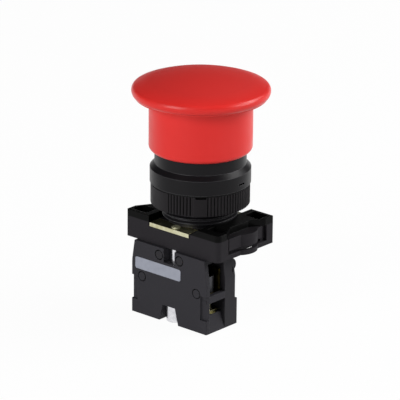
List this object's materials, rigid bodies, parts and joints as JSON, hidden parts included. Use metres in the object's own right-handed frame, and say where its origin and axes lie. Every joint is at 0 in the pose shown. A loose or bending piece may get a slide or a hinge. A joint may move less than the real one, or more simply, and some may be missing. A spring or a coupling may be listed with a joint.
{
  "type": "emergency stop button",
  "caption": "Panel-mounted emergency stop: red mushroom head on a black bezel, a ribbed clamp nut, a mounting base and a screw-terminal contact block.",
  "frame": {"origin": "on the push axis, at the bezel's underside where it meets the panel's front", "axes": "+Z out of the panel towards the hand, -Y the contact block's marked front, +X to its right"},
  "size_m": [0.04, 0.04, 0.0726],
  "materials": {
    "head_red": "satin",
    "stem_plastic": "satin",
    "seal_rubber": "matte",
    "spring_steel": "satin",
    "bezel_black": "satin",
    "gasket_rubber": "matte",
    "washer_grey": "satin",
    "nut_black": "satin",
    "base_black": "satin",
    "plate_zinc": "satin",
    "screw_steel": "satin",
    "block_black": "matte",
    "cover_black": "matte",
    "label_silver": "satin",
    "plunger_white": "satin",
    "contact_brass": "satin",
    "tip_silver": "satin",
    "terminal_steel": "satin"
  },
  "bodies": {
    "mount_frame": {"stem_seal": "seal_rubber", "return_spring": "spring_steel", "operator_body": "bezel_black", "panel_gasket": "gasket_rubber", "mounting_base": "base_black", "front_nut_plate": "plate_zinc", "rear_nut_plate": "plate_zinc", "fixing_screw": "screw_steel", "contact_housing": "block_black", "contact_cover": "cover_black", "marking_label": "label_silver", "contact_spring": "spring_steel", "fixed_contact_left": "contact_brass", "fixed_contact_right": "contact_brass", "fixed_tips": "tip_silver", "terminal_screws": "terminal_steel", "clamp_plates": "terminal_steel"},
    "push_head": {"mushroom_cap": "head_red", "plunger_stem": "stem_plastic"},
    "contact_slider": {"contact_plunger": "plunger_white", "bridge_contact": "contact_brass", "bridge_tips": "tip_silver"},
    "nut_carriage": {"nut_washer": "washer_grey"},
    "nut": {"clamp_nut": "nut_black"}
  },
  "joints": [
    {"name": "head_press", "type": "slide", "parent": "mount_frame", "child": "push_head", "axis": [0, 0, -1], "range_m": [0, 0.0035], "stiffness_N_per_m": 2500, "springref_m": -0.003, "deforming": ["return_spring"]},
    {"name": "contact_travel", "type": "slide", "parent": "mount_frame", "child": "contact_slider", "axis": [0, 0, -1], "range_m": [0, 0.0035], "deforming": ["contact_spring"]},
    {"name": "nut_travel", "type": "slide", "parent": "mount_frame", "child": "nut_carriage", "axis": [0, 0, -1], "range_m": [0, 0.00337]},
    {"name": "nut_turn", "type": "hinge", "parent": "nut_carriage", "child": "nut", "pos_m": [0, 0, -0.0035], "axis": [0, 0, -1], "range_deg": [0, 810]}
  ],
  "couplings": [
    {"joint": "contact_travel", "follows": "head_press", "ratio": 1},
    {"joint": "nut_turn", "follows": "nut_travel", "rad_per_m": 4188.8}
  ]
}
